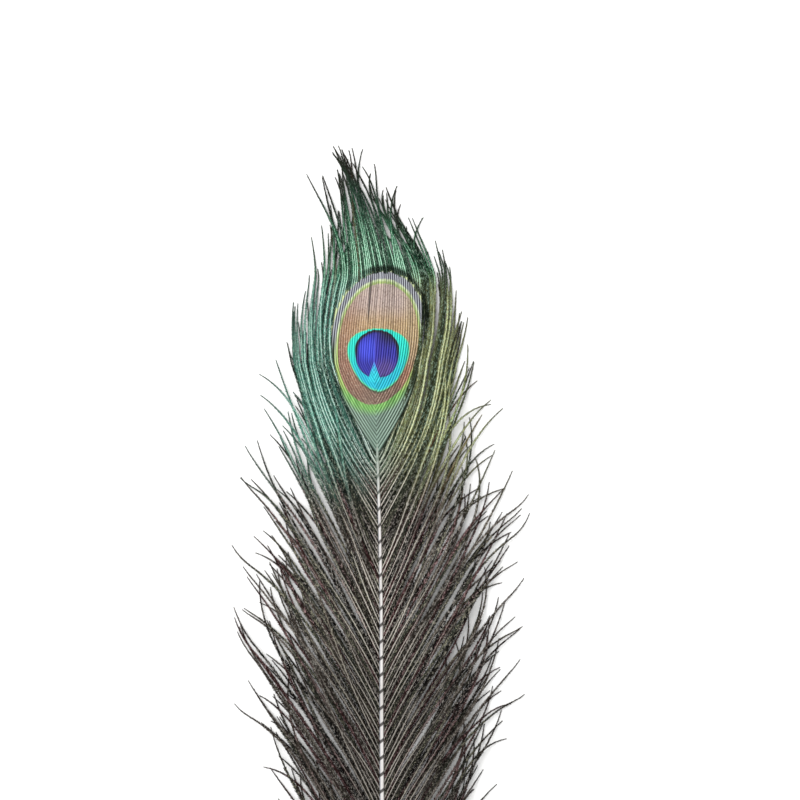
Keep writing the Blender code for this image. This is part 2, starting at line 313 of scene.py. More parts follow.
def feather_x(y):
    """The middle line of the whole feather: the shaft, then the vane and the fringe, which leans over."""
    if y <= SHAFT_TIP_Y:
        return shaft_x(y)
    past = max(y - FRINGE_LEAN_Y, 0.0)
    leaning = FRINGE_LEAN * past**2 / (past + FRINGE_LEAN_STARTS_OVER)
    return shaft_x(SHAFT_TIP_Y) + VANE_LEAN * (y - SHAFT_TIP_Y) - leaning


def bouquet_half_width(y, side):
    """Half-width of the barbs that make the vane, which run on above it as the fringe."""
    if y <= VANE_ROOT_Y:
        return 0.0
    widest = VANE_HALF_WIDTH * (1 + VANE_SKEW * side)
    if y <= VANE_WIDEST_Y:
        return widest * math.sin(math.pi / 2 * (y - VANE_ROOT_Y) / (VANE_WIDEST_Y - VANE_ROOT_Y))
    above = (y - VANE_WIDEST_Y) / FRINGE_NARROWS_OVER
    return FRINGE_NARROWS_TO + (widest - FRINGE_NARROWS_TO) * math.exp(-(above**2))


def vane_height(x, y):
    """Height of the vane's middle surface, crowned across its width."""
    across = (x - feather_x(y)) / VANE_HALF_WIDTH
    return shaft_lift(y) + shaft_radius(y) - VANE_EDGE_DROOP * min(1.0, across**2)


def eye_reach(x, y):
    """How far out of the eye a point lies: 1 on the edge of the bronze, and more outside it."""
    up = y / MM - EYE_Y
    middle = EYE_X + (EYE_LEANS_ABOVE if up > 0 else EYE_LEANS_BELOW) * up
    across = abs(x / MM - middle) / EYE_HALF_WIDTH
    height, power = (EYE_ABOVE, EYE_ABOVE_POWER) if up > 0 else (EYE_BELOW, EYE_BELOW_POWER)
    return (across**power + (abs(up) / height) ** power) ** (1 / power)


def between(values, share):
    """A value from an evenly spaced list, at a share of the way along it."""
    at = min(max(share, 0.0), 1.0) * (len(values) - 1)
    low = min(int(at), len(values) - 2)
    return values[low] + (values[low + 1] - values[low]) * (at - low)


def arched(t, root_z, arch):
    """Height of a free barb a share of the way along it: up over an arch, then down to the floor."""
    return root_z * (1 - t) ** 2 + arch * max(0.0, math.sin(math.pi * t)) ** ARCH_POWER + TIP_HEIGHT * t


def travelled(path):
    """How far along a path each of its points is, in metres."""
    run = [0.0]
    for before, after in zip(path, path[1:]):
        run.append(run[-1] + math.dist(before, after))
    return run


# The tree that grows barbs on lines. Where "closed" is 1 the barbules are hooked together, so the
# line becomes a flat ribbon with a ridge. Elsewhere it becomes a bare ramus with three rows of free
# barbules, each a single leaf. "fluff" is how long the outer rows are, and "crest" the middle one.
# Real barbules stand several times as close and are finer, so these are drawn coarse enough to show.
barb_tree, given = new_tree(
    "barb",
    {
        "Ramus Radius": "Float",
        "Barbule Length": "Float",
        "Barbule Width": "Float",
        "Barbule Pitch": "Float",
        "Barbule Angle": "Float",
        "Barbule Rise": "Float",
        "Row Half Height": "Float",
        "Seed": "Int",
        "Web": "Material",
        "Material": "Material",
    },
)


def number(name):
    """A number that a line's points carry."""
    return add(barb_tree, NAMED, (name,), data_type="FLOAT")


def draw(low, high, salt):
    """A random number for each barbule."""
    seed = add(barb_tree, "ShaderNodeMath", (given["Seed"], salt), operation="ADD")
    places = {2: low, 3: high, "Seed": seed}
    return add(barb_tree, "FunctionNodeRandomValue", places, out=1, data_type="FLOAT")


def kite(up, down, reach):
    """A four-cornered section, one unit to each side, whose corners carry how far out they are."""
    corners = ((-1, 0, 0), (0, -up, 0), (1, 0, 0), (0, down, 0))
    corners = {f"Point {number}": corner for number, corner in enumerate(corners, 1)}
    outline = add(barb_tree, "GeometryNodeCurvePrimitiveQuadrilateral", corners, mode="POINTS")
    spot = add(barb_tree, "ShaderNodeSeparateXYZ", (add(barb_tree, "GeometryNodeInputPosition"),))
    out = add(barb_tree, "ShaderNodeMath", (spot, reach), operation="MULTIPLY")
    return add(barb_tree, STORE, (outline, True, "reach", out), data_type="FLOAT", domain="POINT")


barb = add(barb_tree, "GeometryNodeMeshToCurve", (given["Geometry"],))
barb = add(barb_tree, "GeometryNodeSetCurveNormal", (barb,), mode="Z_UP")
hooked = add(barb_tree, "ShaderNodeMath", (number("closed"), 0.5), operation="GREATER_THAN")
closed, loose = add(barb_tree, "GeometryNodeSeparateGeometry", (barb, hooked), out=None, domain="CURVE")

ribbon_section = kite(RIDGE_SHARE, KEEL_SHARE, 1.0)
ribbon = add(barb_tree, "GeometryNodeCurveToMesh", (closed, ribbon_section, number("thick"), True))
ribbon = add(barb_tree, "GeometryNodeSetMaterial", {"Geometry": ribbon, "Material": given["Web"]})
ramus_section = kite(1.0, 1.0, RAMUS_REACH)
ramus_size = (number("thick"), given["Ramus Radius"])
ramus_size = add(barb_tree, "ShaderNodeMath", ramus_size, operation="MULTIPLY")
ramus = add(barb_tree, "GeometryNodeCurveToMesh", (loose, ramus_section, ramus_size, True))
ramus = add(barb_tree, "GeometryNodeSetShadeSmooth", (ramus,))

spacing = {"Curve": loose, "Length": given["Barbule Pitch"]}
stations = add(barb_tree, "GeometryNodeResampleCurve", spacing, mode="LENGTH")
ahead = add(barb_tree, "GeometryNodeInputTangent")
aside = add(barb_tree, "ShaderNodeVectorMath", (ahead, (0, 0, 1)), operation="CROSS_PRODUCT")
leaf = add(barb_tree, "GeometryNodeMeshCircle", (3, 1.0), fill_type="NGON")
to_unit = {"Geometry": leaf, "Translation": (1 / 3, 0, 0), "Scale": (2 / 3, 3**-0.5, 1)}
leaf = add(barb_tree, "GeometryNodeTransform", to_unit)
spot = add(barb_tree, "ShaderNodeSeparateXYZ", (add(barb_tree, "GeometryNodeInputPosition"),), out=None)
leaf = add(barb_tree, STORE, (leaf, True, "shift", spot[1]), data_type="FLOAT", domain="POINT")
barbules = []
for side in (-1, 0, 1):
    salt = 10 * side
    outward = side or 1
    reach = (spot[0], (1 - BARBULE_ROOT_REACH) * side or CREST_REACH, BARBULE_ROOT_REACH * outward)
    reach = add(barb_tree, "ShaderNodeMath", reach, operation="MULTIPLY_ADD")
    blade = add(barb_tree, STORE, (leaf, True, "reach", reach), data_type="FLOAT", domain="POINT")
    angle = (given["Barbule Angle"], draw(-BARBULE_ANGLE_VARIES, BARBULE_ANGLE_VARIES, salt + 1))
    angle = add(barb_tree, "ShaderNodeMath", angle, operation="ADD")
    cosine = add(barb_tree, "ShaderNodeMath", (angle,), operation="COSINE")
    sine = add(barb_tree, "ShaderNodeMath", (angle,), operation="SINE")
    sine = add(barb_tree, "ShaderNodeMath", (sine, side or draw(-1.0, 1.0, 5)), operation="MULTIPLY")
    rise = (given["Barbule Rise"], draw(*BARBULE_RISES, salt + 2) if side else CREST_RISES)
    rise = add(barb_tree, "ShaderNodeMath", rise, operation="MULTIPLY")
    parts = [
        add(barb_tree, "ShaderNodeVectorMath", {0: ahead, "Scale": cosine}, operation="SCALE"),
        add(barb_tree, "ShaderNodeVectorMath", {0: aside, "Scale": sine}, operation="SCALE"),
        add(barb_tree, "ShaderNodeCombineXYZ", {2: rise}),
    ]
    heading = add(barb_tree, "ShaderNodeVectorMath", parts[:2], operation="ADD")
    heading = add(barb_tree, "ShaderNodeVectorMath", (heading, parts[2]), operation="ADD")
    axes = {"primary_axis": "X", "secondary_axis": "Z"}
    turn = add(barb_tree, "FunctionNodeAxesToRotation", (heading, (0, 0, 1)), **axes)
    length = (number("fluff" if side else "crest"), draw(*BARBULE_LENGTHS, salt + 3))
    length = add(barb_tree, "ShaderNodeMath", length, operation="MULTIPLY")
    length = add(barb_tree, "ShaderNodeMath", (length, given["Barbule Length"]), operation="MULTIPLY")
    size = add(barb_tree, "ShaderNodeCombineXYZ", (length, given["Barbule Width"], 1.0))
    placing = {"Points": stations, "Instance": blade, "Rotation": turn, "Scale": size}
    row = add(barb_tree, "GeometryNodeInstanceOnPoints", placing)
    speck = (row, True, "speck", draw(0.0, 1.0, salt + 4))
    barbules.append(add(barb_tree, STORE, speck, data_type="FLOAT", domain="INSTANCE"))
free = add(barb_tree, "GeometryNodeJoinGeometry", ([ramus, *barbules],))
free = add(barb_tree, "GeometryNodeSetMaterial", {"Geometry": free, "Material": given["Material"]})
whole = add(barb_tree, "GeometryNodeJoinGeometry", ([ribbon, free],))
whole = add(barb_tree, "GeometryNodeRealizeInstances", (whole,))
map_u = (number("shift"), number("stride"), number("along"))
map_u = add(barb_tree, "ShaderNodeMath", map_u, operation="MULTIPLY_ADD")
map_v = (number("reach"), given["Row Half Height"], number("row"))
map_v = add(barb_tree, "ShaderNodeMath", map_v, operation="MULTIPLY_ADD")
map_place = add(barb_tree, "ShaderNodeCombineXYZ", (map_u, map_v))
whole = add(barb_tree, STORE, (whole, True, "OFBake", map_place), data_type="FLOAT2", domain="CORNER")
add(barb_tree, "NodeGroupOutput", (whole,))

# Structural colour on dark keratin: thin layers in each barbule give the eye its rings, with the
# sheen of satin. Real barbules here are too fine to see singly, so a faint herringbone of coarser
# ones is drawn along each barb.
web, nodes = new_material("layered keratin of the web")
HERRINGBONE_PITCH = 0.42 * MM
HERRINGBONE_SLANTS = 0.5 * MM
GRAINS = 1.5 / MM
STREAKS_ACROSS_WEB, STREAKS_ALONG_WEB = 1.5 / MM, 0.09 / MM
UNEVEN_EDGES = 0.16 * MM
VEE_MIDDLE_X = -2.2 * MM
NOTCH_X, NOTCH_TOP_Y, NOTCH_SLOPE = -2.84 * MM, 111.6 * MM, 2.9
place = add(nodes, "ShaderNodeTexCoord", out=None)["Object"]
tint = add(nodes, "ShaderNodeAttribute", out=2, attribute_name="tint")
reach = add(nodes, "ShaderNodeAttribute", out=2, attribute_name="reach")
run = add(nodes, "ShaderNodeAttribute", out=2, attribute_name="run")
jitter = add(nodes, "ShaderNodeMapRange", (tint, 0, 1, -UNEVEN_EDGES, UNEVEN_EDGES))
moved = add(nodes, "ShaderNodeCombineXYZ", {1: jitter})
place = add(nodes, "ShaderNodeVectorMath", (place, moved), operation="ADD")


def egg(x, y, half_width, above, above_power, below, below_power, leans_below=0.0, leans_above=0.0):
    """How far out of an egg outline in mm a point lies: 0 in its middle, 1 on its edge.

    Its ends reach above and below its middle, and are squarer where their power is higher. Each may
    lean to the right by so many mm for each mm up.
    """
    centred = {"Vector": place, "Location": (x * MM, y * MM, 0), "Scale": (half_width * MM, MM, 1)}
    centred = add(nodes, "ShaderNodeMapping", centred, vector_type="TEXTURE")
    across, up, _ = add(nodes, "ShaderNodeSeparateXYZ", (centred,), out=None)
    for end, leans in (("MINIMUM", leans_below), ("MAXIMUM", leans_above)):
        this_end = add(nodes, "ShaderNodeMath", (up, 0.0), operation=end)
        leaning = (this_end, -leans / half_width, across)
        across = add(nodes, "ShaderNodeMath", leaning, operation="MULTIPLY_ADD")
    across = add(nodes, "ShaderNodeMath", (across,), operation="ABSOLUTE")
    halves = []
    for height, power in ((above, above_power), (-below, below_power)):
        part = add(nodes, "ShaderNodeMath", (up, 1 / height), operation="MULTIPLY")
        part = add(nodes, "ShaderNodeMath", (part, 0.0), operation="MAXIMUM")
        part = add(nodes, "ShaderNodeMath", (part, power), operation="POWER")
        wide = add(nodes, "ShaderNodeMath", (across, power), operation="POWER")
        both = add(nodes, "ShaderNodeMath", (part, wide), operation="ADD")
        halves.append(add(nodes, "ShaderNodeMath", (both, 1 / power), operation="POWER"))
    return add(nodes, "ShaderNodeMath", halves, operation="MAXIMUM")


def spot_at(x, y, radius):
    """How far a point lies from a spot, in mm, as a share of the spot's radius."""
    centred = {"Vector": place, "Location": (x * MM, y * MM, 0), "Scale": (radius * MM, radius * MM, 1)}
    centred = add(nodes, "ShaderNodeMapping", centred, vector_type="TEXTURE")
    flat = add(nodes, "ShaderNodeVectorMath", (centred, (1, 1, 0)), operation="MULTIPLY")
    return add(nodes, "ShaderNodeVectorMath", (flat,), out=1, operation="LENGTH")


# The outlines of the eye's markings, in mm, as egg() takes them.
BRONZE_OUTLINE = (EYE_X, EYE_Y, EYE_HALF_WIDTH, EYE_ABOVE, EYE_ABOVE_POWER, EYE_BELOW, EYE_BELOW_POWER)
BRONZE_LEANS = (EYE_LEANS_BELOW, EYE_LEANS_ABOVE)
TURQUOISE_OUTLINE = (-1.2, 115.8, 12.4, 8.4, 2.2, 16.6, 1.7)
VIOLET_OUTLINE = (-1.7, 115.8, 8.8, 7.8, 2.0, 11.2, 2.3)
SLIT_OUTLINE, SLIT_LEANS = (-4.65, 136.4, 0.5, 12.4, 3.0, 12.4, 3.0), (0.075, 0.075)
bronze_edge = egg(*BRONZE_OUTLINE, *BRONZE_LEANS)
turquoise_edge = egg(*TURQUOISE_OUTLINE)
violet_edge = egg(*VIOLET_OUTLINE)
slit = egg(*SLIT_OUTLINE, *SLIT_LEANS)
east, north, _ = add(nodes, "ShaderNodeSeparateXYZ", (place,), out=None)
grain = add(nodes, "ShaderNodeTexNoise", {"Vector": place, "Scale": GRAINS, "Detail": 2.0})
drawn_out = (STREAKS_ACROSS_WEB, STREAKS_ALONG_WEB, 1)
drawn_out = add(nodes, "ShaderNodeMapping", {"Vector": place, "Scale": drawn_out})
streaks = add(nodes, "ShaderNodeTexNoise", {"Vector": drawn_out, "Scale": 1.0, "Detail": 2.0})
flank = add(nodes, "ShaderNodeMath", (reach,), operation="ABSOLUTE")

# Painted from the outside in: first the grey-green V below the eye, and the greens round its foot.
vee_green = lay(nodes, "#64796b", "#93ab9b", flank, 0.34, 0.06)
# Painted shade: each barb of the V darker towards its edges, where it meets the next.
vee_green = lay(nodes, vee_green, "#52665a", flank, 0.5, 0.9)
vee_green = lay(nodes, vee_green, "#869d8b", streaks, 0.4, 0.75, share=0.4)
from_shaft = add(nodes, "ShaderNodeMath", (east, -VEE_MIDDLE_X), operation="ADD")
from_shaft = add(nodes, "ShaderNodeMath", (from_shaft,), operation="ABSOLUTE")
vee_green = lay(nodes, vee_green, "#6f8779", from_shaft, 5 * MM, 2 * MM, share=0.55)
low_green = lay(nodes, "#6aa552", "#86bd68", streaks, 0.35, 0.65)
low_green = lay(nodes, low_green, vee_green, bronze_edge, 1.05, 1.22)
# Painted shade of a deep gap: dark green on the eye's sides, outside the yellow-green ring.
side_green = lay(nodes, "#9fb866", "#2b3a22", bronze_edge, 1.06, 1.1)
band = lay(nodes, low_green, side_green, north, 97 * MM, 103 * MM)
# The lilac band over the eye, with a yellow-green ring inside it and a pale edge outside.
# Pale along each ramus, with painted shade darkening each barb towards its edges.
lined = lay(nodes, "#70707d", "#33303c", flank, 0.45, 0.95)
lined = lay(nodes, lined, "#b9bec0", flank, 0.35, 0.1, share=0.8)
band = lay(nodes, band, lined, north, 114 * MM, 124 * MM)
ring = lay(nodes, "#a3b96a", "#cbd8ae", bronze_edge, 1.02, 1.06)
ring = lay(nodes, ring, "#6f7d58", streaks, 0.48, 0.66, share=0.75)
# Painted shade: the ring's barbs darker towards their edges.
ring = lay(nodes, ring, "#4f5a44", flank, 0.5, 0.9, share=0.6)
upper = lay(nodes, band, ring, bronze_edge, 1.09, 1.06)
band = lay(nodes, band, upper, north, 106 * MM, 116 * MM)
pale_rim = lay(nodes, band, "#c9d898", bronze_edge, 1.18, 1.22, share=0.8)
band = lay(nodes, band, pale_rim, north, 106 * MM, 116 * MM)
# The bronze field: brown below and on the left, golden on the right and pinkish grey at the top.
bronze = lay(nodes, "#7c6355", "#987660", north, 97 * MM, 106 * MM)
bronze = lay(nodes, bronze, "#b89b72", north, 112 * MM, 124 * MM)
bronze = lay(nodes, bronze, "#b7a59d", north, 125 * MM, 135 * MM)
bronze = lay(nodes, bronze, "#966b57", east, -4 * MM, -15 * MM, share=0.6)
bronze = lay(nodes, bronze, "#c9b486", east, 7 * MM, 13 * MM, share=0.45)
bronze = lay(nodes, bronze, "#a86a52", spot_at(9.5, 106.0, 7.0), 1.0, 0.3, share=0.6)
bronze = lay(nodes, bronze, "#6f5347", streaks, 0.5, 0.8, share=0.5)
bronze = lay(nodes, bronze, "#cbb6a4", grain, 0.5, 0.75, share=0.55)
bronze = lay(nodes, bronze, "#63483c", grain, 0.5, 0.3, share=0.5)
colour = lay(nodes, band, bronze, bronze_edge, 1.01, 0.99)
# Painted shade: the dark slit where two barbs of the web part.
colour = lay(nodes, colour, "#2c2220", slit, 1.0, 0.45, share=0.85)
# The turquoise ring, with a dark line below it.
edged = lay(nodes, colour, "#3a4a38", turquoise_edge, 1.07, 1.02, share=0.8)
colour = lay(nodes, colour, edged, north, 108 * MM, 103 * MM)
turquoise = lay(nodes, "#12b4cc", "#1cd6c4", north, 104 * MM, 116 * MM)
turquoise = lay(nodes, turquoise, "#58d89c", turquoise_edge, 0.93, 1.0)
colour = lay(nodes, colour, turquoise, turquoise_edge, 1.01, 0.98)
# The violet heart: bluer on the left, darkest at the upper right, with a black rim above.
# Painted highlight: the bluer patch on the heart's left.
violet = lay(nodes, "#28279a", "#3d47d2", spot_at(-4.6, 116.0, 7.0), 1.0, 0.25)
violet = lay(nodes, violet, "#2f2ca0", east, -2.9 * MM, -2.3 * MM)
violet = lay(nodes, violet, "#554290", spot_at(1.6, 107.5, 7.0), 1.0, 0.2)
rimmed = lay(nodes, violet, "#0b0818", violet_edge, 0.8, 0.93)
violet = lay(nodes, violet, "#2c2463", violet_edge, 0.88, 1.0, share=0.7)
violet = lay(nodes, violet, rimmed, north, 110 * MM, 116 * MM)
violet = lay(nodes, violet, "#120c28", spot_at(3.4, 122.8, 7.6), 1.0, 0.25, share=0.85)
colour = lay(nodes, colour, violet, violet_edge, 1.02, 0.98)
# The blue notch that cuts into the heart from below.
notch = add(nodes, "ShaderNodeMath", (east, -NOTCH_X), operation="ADD")
notch = add(nodes, "ShaderNodeMath", (notch,), operation="ABSOLUTE")
notch = add(nodes, "ShaderNodeMath", (notch, NOTCH_SLOPE, north), operation="MULTIPLY_ADD")
notch_blue = lay(nodes, "#1fc6d6", "#4a86e0", north, 106 * MM, 111 * MM)
notched = lay(nodes, colour, notch_blue, notch, NOTCH_TOP_Y, NOTCH_TOP_Y - 1.0 * MM)
colour = lay(nodes, colour, notched, violet_edge, 1.2, 1.1)
# A tone of its own for each barb, and painted shade in the seam between two.
colour = lay(nodes, colour, "#000000", tint, 0.45, 0.0, share=0.22)
colour = lay(nodes, colour, "#0c0a0c", flank, 0.75, 1.0, share=0.2)
# The herringbone slants out of each ramus.
herringbone = (flank, -HERRINGBONE_SLANTS, run)
herringbone = add(nodes, "ShaderNodeMath", herringbone, operation="MULTIPLY_ADD")
herringbone = (herringbone, 2 * math.pi / HERRINGBONE_PITCH)
herringbone = add(nodes, "ShaderNodeMath", herringbone, operation="MULTIPLY")
herringbone = add(nodes, "ShaderNodeMath", (herringbone,), operation="SINE")
relief = {"Height": herringbone, "Strength": 0.5, "Distance": 0.04 * MM}
surface = {
    "Base Color": colour,
    "Metallic": 0.25,
    "Roughness": 0.42,
    "IOR": 1.54,
    "Normal": add(nodes, "ShaderNodeBump", relief),
}
add(nodes, "ShaderNodeOutputMaterial", (add(nodes, "ShaderNodeBsdfPrincipled", surface),))

# Dark keratin of the free barbules: brown-black, specked with painted beige glints on scattered
# barbules, green beside the eye, and paler along the ramus near its root.
GLINT_PATCHES = 0.65 / MM
herl, nodes = new_material("free barbules")
place = add(nodes, "ShaderNodeTexCoord", out=None)["Object"]
east, north, _ = add(nodes, "ShaderNodeSeparateXYZ", (place,), out=None)
tint = add(nodes, "ShaderNodeAttribute", out=2, attribute_name="tint")
reach = add(nodes, "ShaderNodeAttribute", out=2, attribute_name="reach")
speck = add(nodes, "ShaderNodeAttribute", out=2, attribute_name="speck")
along = add(nodes, "ShaderNodeAttribute", out=2, attribute_name="along")
# A second random number for each barb, made of the digits of the first.
second_tint = add(nodes, "ShaderNodeMath", (tint, 7.0), operation="MULTIPLY")
second_tint = add(nodes, "ShaderNodeMath", (second_tint,), operation="FRACT")
patches = add(nodes, "ShaderNodeTexNoise", {"Vector": place, "Scale": GLINT_PATCHES, "Detail": 1.0})
patches = add(nodes, "ShaderNodeMath", (patches, 0.8), operation="MULTIPLY")
glint = add(nodes, "ShaderNodeMath", (speck, patches), operation="ADD")
# Brown-black barbs down the shaft, some greyer and some redder, with painted beige glints.
brown = lay(nodes, "#0a0908", "#4c443c", tint, 0.12, 0.9)
brown = lay(nodes, brown, "#353830", second_tint, 0.25, 0.15)
brown = lay(nodes, brown, "#3c2423", second_tint, 0.74, 0.84)
shine = lay(nodes, "#aeaa94", "#bdb7ae", second_tint, 0.2, 0.4)
shine = lay(nodes, shine, "#b08f8f", second_tint, 0.7, 0.8)
brown = lay(nodes, brown, shine, glint, 1.05, 1.3, share=0.85)
# Green barbs by the eye: bluish on its left, olive on its right, deep green above, dark at the tip.
green = lay(nodes, "#6bab98", "#a9b078", east, -8 * MM, 10 * MM)
green = lay(nodes, green, "#24784f", north, 138 * MM, 150 * MM)
green = lay(nodes, green, "#0f2017", tint, 0.4, 0.2, share=0.9)
green = lay(nodes, green, "#0a1610", speck, 0.6, 0.3, share=0.6)
# Painted pale glints on scattered barbules.
green = lay(nodes, green, "#bcdcc4", glint, 1.1, 1.3, share=0.5)
green = lay(nodes, green, "#a5572f", second_tint, 0.95, 0.97, share=0.25)
green = lay(nodes, green, "#1a2620", north, 158 * MM, 182 * MM, share=0.75)
colour = lay(nodes, brown, green, north, 46 * MM, 90 * MM)
colour = lay(nodes, colour, "#2c1b19", along, 0.75, 0.98, share=0.65)
flank = add(nodes, "ShaderNodeMath", (reach,), operation="ABSOLUTE")
# Painted shade: each barbule darker towards its outer end, in the gaps between barbs.
colour = lay(nodes, colour, "#040404", flank, 0.35, 0.85, share=0.75)
# The ramus: pale at its root and dark at its tip.
ramus_colour = lay(nodes, "#332b26", "#dcd5ca", along, 0.8, 0.12)
ramus_colour = lay(nodes, ramus_colour, "#1f1915", tint, 0.66, 0.6)
ramus_green = lay(nodes, "#e2f8f0", "#f4f6cc", east, -8 * MM, 10 * MM)
ramus_green = lay(nodes, ramus_green, "#c2f0d4", north, 132 * MM, 146 * MM)
ramus_green = lay(nodes, ramus_green, "#23402f", tint, 0.38, 0.3, share=0.9)
ramus_green = lay(nodes, ramus_green, "#33463c", north, 158 * MM, 178 * MM)
ramus_colour = lay(nodes, ramus_colour, ramus_green, north, 56 * MM, 84 * MM)
ramus_colour = lay(nodes, ramus_colour, "#1d1a17", along, 0.75, 0.95)
colour = lay(nodes, colour, ramus_colour, flank, 0.14, 0.1, share=0.9)
# Painted shade: barbs lower down the shaft are darker.
colour = lay(nodes, colour, "#100d0b", north, 15 * MM, -25 * MM, share=0.38)
# Painted shadow in the deep gap over the rim of the eye, which is fainter on the left.
web_edge = egg(*BRONZE_OUTLINE, *BRONZE_LEANS)
shaded = lay(nodes, colour, "#08120a", web_edge, 1.34, 1.27, share=0.88)
shaded = lay(nodes, shaded, colour, east, -3 * MM, -9 * MM, share=0.6)
colour = lay(nodes, colour, shaded, north, 122 * MM, 130 * MM)
surface = {
    "Base Color": colour,
    "Metallic": 0.15,
    "Roughness": 0.5,
    "IOR": 1.54,
    "Specular IOR Level": 0.05,
}
add(nodes, "ShaderNodeOutputMaterial", (add(nodes, "ShaderNodeBsdfPrincipled", surface),))


def rim_at(y):
    """How far out of the eye the web is closed: less below, where only a thin green edge shows."""
    return RIM_BELOW + (RIM_ABOVE - RIM_BELOW) * smooth_step(y, *RIM_CHANGES_Y)


def eye_barb(share, side, chance):
    """One barb: its points, how wide a ribbon each has, and the step at which it leaves the web."""
    root_y = SHAFT_TIP_Y - share * (SHAFT_TIP_Y - VANE_ROOT_Y)
    tip_y = between(FRINGE_TIPS, (1 + side * share) / 2)
    tip_y -= chance.random() ** FRINGE_TIP_POWER * FRINGE_TIP_VARIES
    uneven = chance.uniform(-RIM_UNEVEN, RIM_UNEVEN)
    wave, wave_start = chance.uniform(*FRINGE_WAVE_MM) * MM, chance.uniform(0, 2 * math.pi)
    strays = chance.gauss(0, FRINGE_STRAYS)
    curl = chance.gauss(0, FRINGE_CURLS)
    steps = round((tip_y - root_y) / EYE_STEP)
    leaves = max(3, round((LOOSE_FROM_Y - root_y) / EYE_STEP))
    path, rooms = [], []
    for step in range(steps + 1):
        y = root_y + (tip_y - root_y) * step / steps
        rooted = max(0.0, (SHAFT_TIP_Y - y) / (SHAFT_TIP_Y - VANE_ROOT_Y))
        spread = bouquet_half_width(y, side) / (1 - rooted)
        x = feather_x(y) + side * (spread * max(share - rooted, 0.0) - ROOTS_CROSS_BY)
        path.append((x, y, vane_height(x, y) + WEB_RISES))
        rooms.append(0.5 * spread / EYE_BARBS)
        if eye_reach(x, y) < rim_at(y) + uneven:
            leaves = step + 1
    end_z = path[leaves][2]
    for step in range(leaves, steps + 1):
        past = (step - leaves) / (steps - leaves)
        x, y, _ = path[step]
        x += wave * math.sin(wave_start + WAVE_TURN * past) * past
        x += strays * past**2 + curl * past**CURL_POWER
        path[step] = (x, y, arched(past, end_z, FRINGE_ARCH))
    return path, rooms, leaves


for side, name in ((-1, "eye_barbs_left"), (1, "eye_barbs_right")):
    chance = random.Random(40 + side)
    paths, closed_at, thick, along, runs = [], [], [], [], []
    stride, rows, tints, fluff, crest = [], [], [], [], []
    for barb in range(EYE_BARBS):
        path, rooms, leaves = eye_barb((barb + 0.5) / EYE_BARBS, side, chance)
        run = travelled(path)
        overlap = round(WEB_EDGE_OVERLAP / EYE_STEP)
        tint = chance.random()
        for is_closed, low, high in ((1, 0, leaves + 1), (0, max(leaves - overlap, 0), len(path))):
            count = high - low
            paths.append(path[low:high])
            closed_at.append([is_closed] * count)
            along.append([r / run[-1] for r in run[low:high]])
            runs.append(run[low:high])
            stride.append([BARBULE_PITCH / run[-1]] * count)
            rows.append([(barb + 0.5) / EYE_BARBS] * count)
            tints.append([tint] * count)
            if is_closed:
                from_root = [RIBBON_ROOT_WIDTH + n / RIBBON_WIDENS_IN for n in range(count)]
                to_end = [RIBBON_END_WIDTH + n / RIBBON_NARROWS_IN for n in reversed(range(count))]
                narrowed = [min(1.0, *ends) for ends in zip(from_root, to_end)]
                thick.append([WEB_OVERLAP * r * e for r, e in zip(rooms[low:high], narrowed)])
                fluff.append([0.0] * count)
                crest.append([0.0] * count)
            else:
                thick.append([STOUT_RAMUS - FRINGE_RAMUS_TAPERS * n / count for n in range(count)])
                fluff.append([1 - FRINGE_FLUFF_SHRINKS * (n / count) ** 3 for n in range(count)])
                crest.append([FRINGE_CREST + FRINGE_CREST * n / count for n in range(count)])
    guide = lines(
        name,
        paths,
        closed=closed_at,
        thick=thick,
        along=along,
        run=runs,
        stride=stride,
        row=rows,
        tint=tints,
        fluff=fluff,
        crest=crest,
    )
    piece = grow(
        name,
        guide,
        barb_tree,
        ramus_radius=RAMUS_RADIUS,
        barbule_length=FRINGE_BARBULE,
        barbule_width=BARBULE_WIDTH,
        barbule_pitch=BARBULE_PITCH,
        barbule_angle=BARBULE_ANGLE,
        barbule_rise=BARBULE_RISE,
        row_half_height=BARB_FILLS_ROW / EYE_BARBS,
        seed=7 + side,
        web=web,
        material=herl,
    )
    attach(piece, "root")
    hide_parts("feather")


# Side barbs: free barbs that root just below the eye, swing out past it and follow its edge up.
# They are green beside the eye, and their barbules stand a little apart.
SIDE_FIRST_Y = 73 * MM
SIDE_LAST_Y = 29 * MM
SIDE_BARBS = 46
SIDE_ROOT_VARIES = 0.3
SIDE_LOCK_PITCH = 6 * MM
SIDE_LOCK_FIRST_Y = 70.5 * MM
SIDE_LEAVING_SLOPE = 0.70
SIDE_SLOPE_EASES = 0.032
SIDE_GAP = 0.5 * MM
SIDE_SPREAD = 2.9 * MM
SIDE_TURN_POWER = 3
SIDE_FREE_FROM_LOCK = 2.5
SIDE_SMOOTHED_OVER = [y * MM for y in (-9, -4.5, 0, 4.5, 9)]
SIDE_REACH = 114 * MM
SIDE_REACH_SHORTENS = 1.9 * MM
SIDE_REACH_VARIES = 32 * MM
SIDE_STRAYS = 2.2 * MM
SIDE_CURLS = 1.6 * MM
SIDE_WAVE_MM = (0.2, 0.9)
SIDE_JOINS_FRINGE = 0.85
SIDE_JOINS_TO_LOCK = 2.6
SIDE_JOINS_OVER_Y = (140 * MM, 184 * MM)
SIDE_ARCH = 3.2 * MM
SIDE_ARCH_VARIES = (0.6, 1.4)
SIDE_STEPS = 44
HERL_BARBULE = 1.6 * MM
FLUFF_AT_ROOT, FLUFF_GROWS = 0.6, 3
FLUFF_SHRINKS, CREST_SHRINKS, SHRINK_POWER = 0.8, 0.6, 5
RAMUS_TAPERS, RAMUS_TAPER_POWER = 0.75, 1.4
SIDE_PALE_FROM_TINT, SIDE_CREST = 0.34, 0.3
TINT_STEP = 0.618


